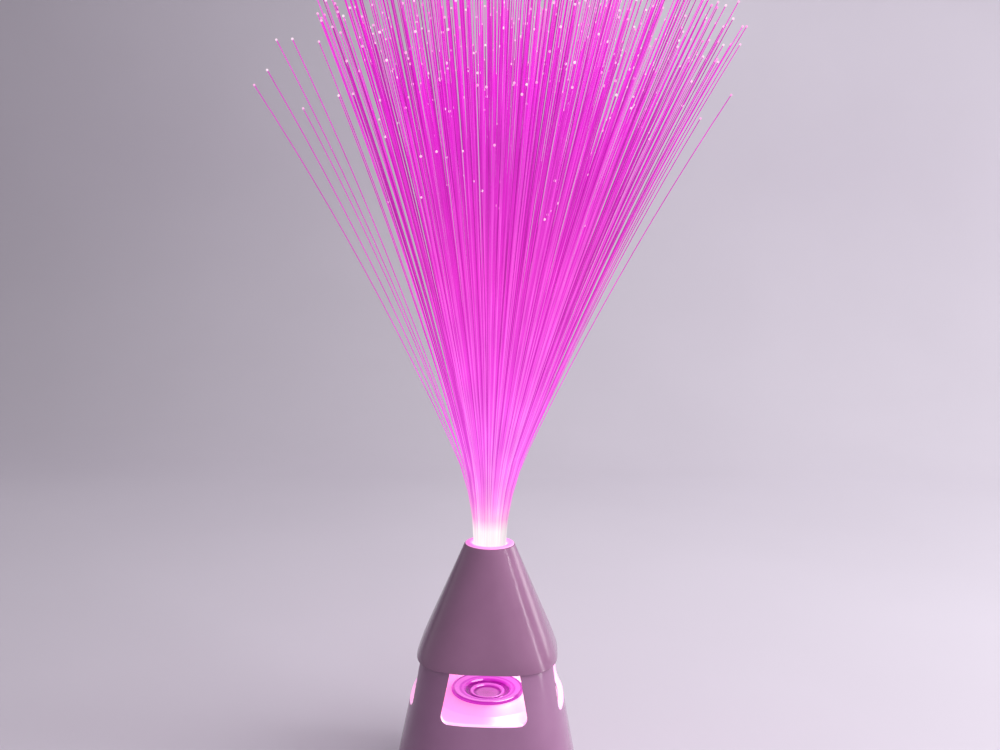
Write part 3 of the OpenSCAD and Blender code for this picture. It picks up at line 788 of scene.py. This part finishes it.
def makeTips(look, ends):
    deselectAll()
    bpy.ops.mesh.primitive_ico_sphere_add(subdivisions=1, radius=look["radius"] * mm)
    first = named("fibreTips")
    bpy.ops.object.shade_smooth()
    first.location = ends[0] * mm
    copies = [first]
    for end in ends[1:]:
        tip = first.copy()
        tip.data = first.data.copy()
        tip.location = end * mm
        bpy.context.scene.collection.objects.link(tip)
        copies.append(tip)
    pick(*copies)
    bpy.ops.object.join()
    bpy.ops.object.transform_apply(location=True, rotation=True, scale=True)
    tips = bpy.context.object
    material, tree, shader, place = newFinish("litTips")
    material.cycles.emission_sampling = "NONE"
    shader.inputs["Base Color"].default_value = look["tone"]
    shader.inputs["Roughness"].default_value = look["rough"]
    addGlow(tree, shader, addNoise(tree, place, look["sparkle"], 1), look["glow"], look["strength"])
    dress(tips, material)
    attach(tips, "fibre_bundle")


def makeSpray(look):
    plan = planSpray(look)
    tones = {tone: fibreFinish(look, tone) for tone in look["glow"]}
    inner = -1
    for node, outer in look["groups"]:
        makeFibres(look, node, [(tone, points) for u, tone, points in plan if inner < u <= outer], tones)
        inner = outer
    makeTips(tipLook, [points[-1] for u, tone, points in plan])


makeSpray(sprayLook)
print("spray made")

# Solids that show as they are. These glow: the floor, ferrule and resin with painted light from the lens and
# fibres, the emitters as the LED's own light; the tones run along an axis, or outwards where it is None
litSolids = {
    # painted pool of the LED's light, pink to the left and whiter to the right
    "light_floor": {
        "name": "floorPaintedLight", "tone": srgb(244, 172, 214), "axis": "X", "span": (-16, 18),
        "glow": [(0, srgb(255, 142, 216)), (0.45, srgb(252, 150, 218)), (0.75, srgb(255, 226, 240)),
                 (1, srgb(255, 250, 250))],
        "strength": 0.55, "rough": 0.35},
    # painted glow for the fibres' light on the sleeve
    "bundle_ferrule": {
        "name": "ferrulePaintedGlow", "tone": srgb(240, 220, 236), "axis": None, "span": (6, 8),
        "glow": [(0, srgb(255, 180, 240)), (1, srgb(255, 220, 246))],
        "strength": 0.6, "rough": 0.35},
    # painted glow for the LED's light on the resin, white in the middle and pinker outwards
    "bundle_potting": {
        "name": "resinPaintedGlow", "tone": srgb(240, 220, 236), "axis": None, "span": (0, 7),
        "glow": [(0, srgb(255, 240, 252)), (1, srgb(255, 190, 240))],
        "strength": 0.9, "rough": 0.1},
    "led_emitters": {
        "name": "emitterLit", "tone": srgb(248, 240, 214), "axis": None, "span": (2, 8),
        "glow": [(0, srgb(255, 240, 250)), (1, srgb(250, 190, 236))],
        "strength": 1.0, "rough": 0.35},
}
litGrain = {"size": 1.2, "depth": 0.01}

# These don't glow: name, two tones, roughness, and what differs from a plain surface
plainSolids = {
    "led_board": ("boardLacquer", (22, 92, 52), (34, 116, 66), (0.35, 0.5), {"patch": 3, "grain": 0.5}),
    "board_parts": ("chipBlack", (30, 30, 34), (44, 44, 48), (0.5, 0.65), {"patch": 3}),
    "board_screws": ("screwSteel", (176, 176, 182), (204, 204, 210), (0.25, 0.4), {"patch": 2, "metal": 1}),
    "bottom_plate": ("plateSatin", (196, 186, 198), (204, 194, 205), (0.45, 0.55),
                     {"patch": 12, "grain": 0.4}),
    "plate_screws": ("plateScrewSteel", (168, 168, 174), (198, 198, 204), (0.25, 0.4),
                     {"patch": 2, "metal": 1}),
    "battery_door": ("doorSatin", (192, 182, 194), (201, 191, 202), (0.45, 0.55),
                     {"patch": 12, "grain": 0.4}),
    "battery_cells": ("cellJacket", (84, 86, 94), (100, 102, 110), (0.25, 0.4), {"patch": 8, "metal": 0.4}),
    "battery_contacts": ("contactNickel", (190, 186, 172), (214, 210, 196), (0.2, 0.35),
                         {"patch": 3, "metal": 1}),
    "battery_springs": ("springWire", (180, 180, 186), (204, 204, 208), (0.2, 0.3), {"patch": 2, "metal": 1}),
    "positive_lead": ("leadRed", (176, 24, 30), (196, 34, 38), (0.4, 0.5), {"patch": 4}),
    "switch_lead": ("switchLeadRed", (176, 24, 30), (196, 34, 38), (0.4, 0.5), {"patch": 4}),
    "negative_lead": ("leadBlack", (26, 26, 28), (40, 40, 42), (0.4, 0.5), {"patch": 4}),
    "switch_body": ("switchBlack", (36, 36, 40), (50, 50, 54), (0.45, 0.55), {"patch": 4}),
    "switch_board": ("switchBoardLacquer", (22, 92, 52), (34, 116, 66), (0.35, 0.5), {"patch": 3}),
}


def litFinish(look):
    material, tree, shader, place = newFinish(look["name"])
    shader.inputs["Base Color"].default_value = look["tone"]
    shader.inputs["Roughness"].default_value = look["rough"]
    if look["axis"]:
        spread = addAlong(tree, place, look["axis"], *look["span"])
    else:
        spread = addRadius(tree, place, *look["span"])
    addGlow(tree, shader, spread, look["glow"], look["strength"])
    addBump(tree, shader, addNoise(tree, place, litGrain["size"]), litGrain["depth"])
    return material


for node, look in litSolids.items():
    dress(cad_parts[node], litFinish(look))
for node, (name, low, high, rough, options) in plainSolids.items():
    dress(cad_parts[node], surfaceFinish(name, (srgb(*low), srgb(*high)), rough, **options))
print("solids dressed")

# Studio: a pale sweep, soft lamps, and the light that the lens throws round its chamber
sweepLook = {
    "size": 3,
    "place": -0.35,        # of its middle, so that it reaches further in front
    "behind": 1,           # only its rear edge lies past this
    "rise": 2,
    "bend": 0.45, "bendSteps": 16,
    "finish": {"tones": (srgb(207, 200, 211), srgb(211, 204, 215)), "rough": (0.75, 0.85),
               "patch": 300, "grain": 1.5, "depth": 0.005},
}
studioLook = {
    "world": (srgb(226, 222, 230), 0.2),
    "backdrop": (srgb(212, 206, 216), 1),     # what shows past the sweep
    # name, place, aim, width, height, power, and whether it is mirrored
    "lamps": [
        ("keyLamp", (1.0, -0.5, 0.8), (0, 0, 0.12), 0.7, 0.9, 10, False),
        ("frontLamp", (0.6, -1.2, 0.8), (0, 0, 0.12), 0.6, 0.6, 4, False),
        ("topLamp", (0.45, 0.2, 1.35), (0, 0.1, 0), 1, 1, 10, False),
        ("sideLamp", (1.2, 0.9, 0.5), (0, 0, 0.1), 0.6, 0.8, 4, True),
        ("edgeLamp", (0.72, -0.1, 0.34), (0, 0, 0.08), 0.03, 0.7, 1.1, True),
    ],
    "chamber": {"power": 0.025, "tone": (255, 200, 228), "place": (8, 3, 57), "radius": 6},
}


def makeSweep(look):
    deselectAll()
    bpy.ops.mesh.primitive_plane_add(size=look["size"], location=(0, look["place"], 0))
    sweep = named("sweep")
    bpy.ops.object.transform_apply(location=True, rotation=True, scale=True)
    bpy.ops.object.mode_set(mode="EDIT")
    bpy.ops.mesh.select_all(action="DESELECT")
    bpy.ops.object.mode_set(mode="OBJECT")
    for edge in sweep.data.edges:
        edge.select = all(sweep.data.vertices[i].co.y > look["behind"] for i in edge.vertices)
    bpy.ops.object.mode_set(mode="EDIT")
    bpy.ops.mesh.select_mode(type="EDGE")
    bpy.ops.mesh.extrude_region_move(TRANSFORM_OT_translate={"value": (0, 0, look["rise"])})
    bpy.ops.object.mode_set(mode="OBJECT")
    for edge in sweep.data.edges:
        ends = [sweep.data.vertices[i].co for i in edge.vertices]
        edge.select = all(end.y > look["behind"] and end.z < look["rise"] / 2 for end in ends)
    bpy.ops.object.mode_set(mode="EDIT")
    bpy.ops.mesh.bevel(offset=look["bend"], segments=look["bendSteps"])
    bpy.ops.object.mode_set(mode="OBJECT")
    bpy.ops.object.shade_smooth()
    dress(sweep, surfaceFinish("sweepPaper", **look["finish"]))


def addLamp(name, place, aim, width, height, power, mirrored):
    data = bpy.data.lights.new(name, "AREA")
    data.shape = "RECTANGLE"
    data.size, data.size_y = width, height
    data.energy = power
    lamp = bpy.data.objects.new(name, data)
    bpy.context.scene.collection.objects.link(lamp)
    lamp.location = place
    lamp.visible_glossy = mirrored
    lamp.visible_camera = False
    lamp.rotation_euler = (Vector(aim) - Vector(place)).to_track_quat("-Z", "Y").to_euler()


def lightChamber(look):
    data = bpy.data.lights.new("chamberLight", "POINT")
    data.energy = look["power"]
    data.color = srgb(*look["tone"])[:3]
    data.shadow_soft_size = look["radius"] * mm
    lamp = bpy.data.objects.new("chamberLight", data)
    bpy.context.scene.collection.objects.link(lamp)
    lamp.location = Vector(look["place"]) * mm


# The camera and mirrored or clear surfaces see the backdrop, and all else gets the fainter world
def lightWorld(look):
    world = bpy.data.worlds.new("studio")
    bpy.context.scene.world = world
    world.use_nodes = True
    tree = world.node_tree
    lit = tree.nodes["Background"]
    lit.inputs["Color"].default_value, lit.inputs["Strength"].default_value = look["world"]
    seen = tree.nodes.new("ShaderNodeBackground")
    seen.inputs["Color"].default_value, seen.inputs["Strength"].default_value = look["backdrop"]
    rays = tree.nodes.new("ShaderNodeLightPath").outputs
    direct = rays["Is Camera Ray"]
    for kind in ("Is Glossy Ray", "Is Transmission Ray"):
        either = tree.nodes.new("ShaderNodeMath")
        either.operation = "MAXIMUM"
        tree.links.new(direct, either.inputs[0])
        tree.links.new(rays[kind], either.inputs[1])
        direct = either.outputs["Value"]
    mix = tree.nodes.new("ShaderNodeMixShader")
    tree.links.new(direct, mix.inputs["Fac"])
    tree.links.new(lit.outputs["Background"], mix.inputs[1])
    tree.links.new(seen.outputs["Background"], mix.inputs[2])
    tree.links.new(mix.outputs["Shader"], tree.nodes["World Output"].inputs["Surface"])
    bpy.context.scene.view_settings.view_transform = "Standard"


makeSweep(sweepLook)
for lamp in studioLook["lamps"]:
    addLamp(*lamp)
lightChamber(studioLook["chamber"])
lightWorld(studioLook)
print("studio lit")
